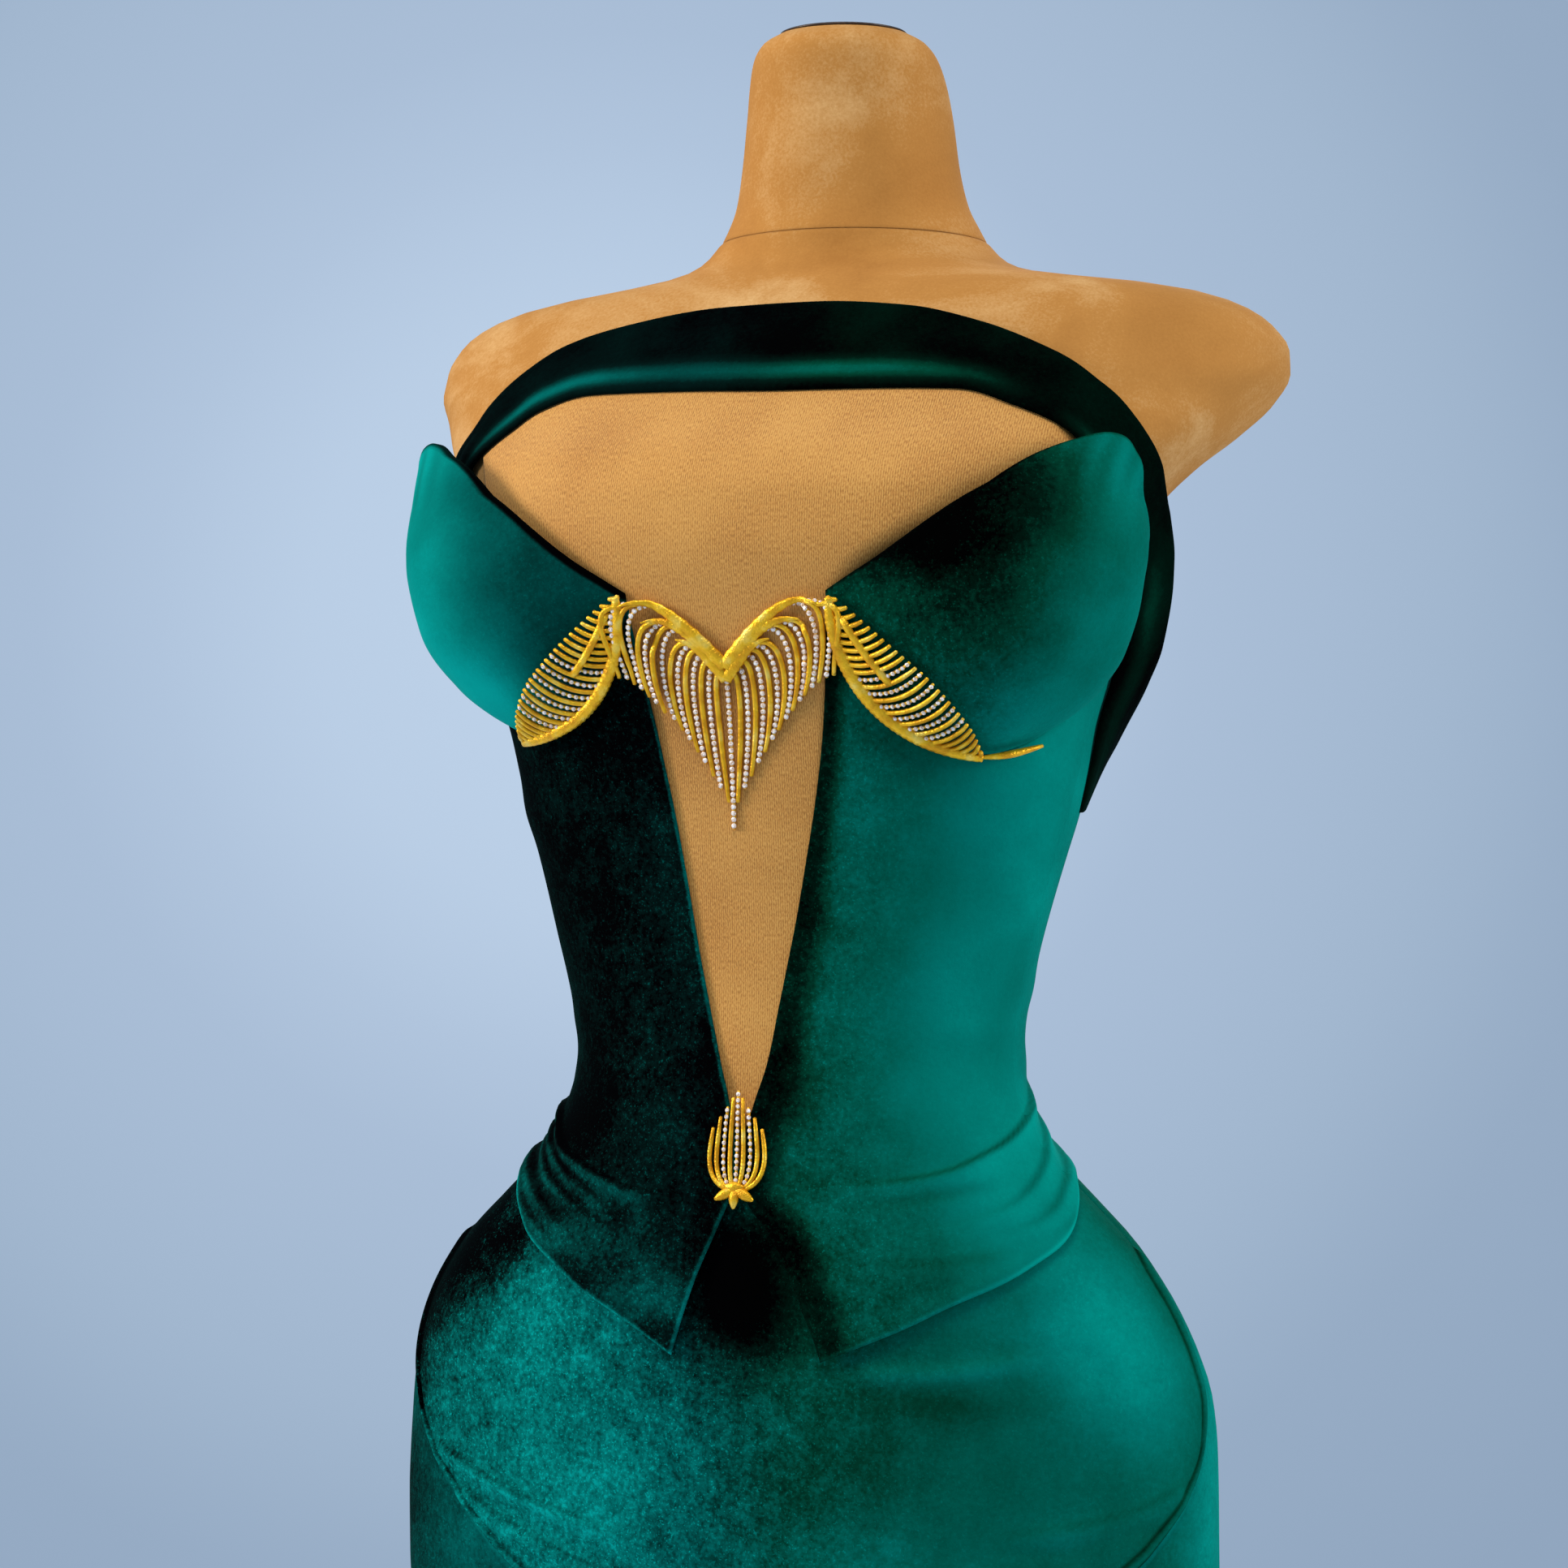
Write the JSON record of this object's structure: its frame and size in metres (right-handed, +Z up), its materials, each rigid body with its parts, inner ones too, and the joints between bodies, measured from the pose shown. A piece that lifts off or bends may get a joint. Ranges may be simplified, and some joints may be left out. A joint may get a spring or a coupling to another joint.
{
  "type": "velvet gown on a limbless dress form",
  "caption": "Floor-length velvet gown with a slit bodice over mesh, moulded cups, a looped shoulder strap, peplum and fluted skirt, on a suede dress form with a round stand",
  "frame": {"origin": "centre of the round base's underside, on the floor below the form's axis", "axes": "+Z up along the pole, -Y out of the gown's front, +X to the wearer's left"},
  "size_m": [0.5859, 0.5375, 1.574],
  "materials": {
    "velvet": "matte",
    "mesh": "matte",
    "form_suede": "matte",
    "cap_dark": "satin",
    "stand_steel": "satin",
    "gold": "polished",
    "zip_metal": "satin"
  },
  "bodies": {
    "gown_and_form": {"form_body": "form_suede", "form_neck": "form_suede", "form_neck_cap": "cap_dark", "stand_base": "stand_steel", "stand_pole": "stand_steel", "mesh_insert": "mesh", "bodice_front_right": "velvet", "bodice_front_left": "velvet", "bodice_back_right": "velvet", "bodice_back_left": "velvet", "cup_right": "velvet", "cup_left": "velvet", "neck_strap": "velvet", "skirt_front_drape": "velvet", "skirt_front": "velvet", "skirt_back_right": "velvet", "skirt_back_left": "velvet", "fan_trim": "gold", "wing_trim_right": "gold", "wing_trim_left": "gold", "waist_brooch": "gold", "zip_slider": "zip_metal"},
    "pull": {"zip_pull": "zip_metal"}
  },
  "joints": [
    {"name": "zip_pull_hinge", "type": "hinge", "parent": "gown_and_form", "child": "pull", "pos_m": [0, 0.12696, 1.23405], "axis": [1, 0, 0], "range_deg": [0, 150]}
  ]
}
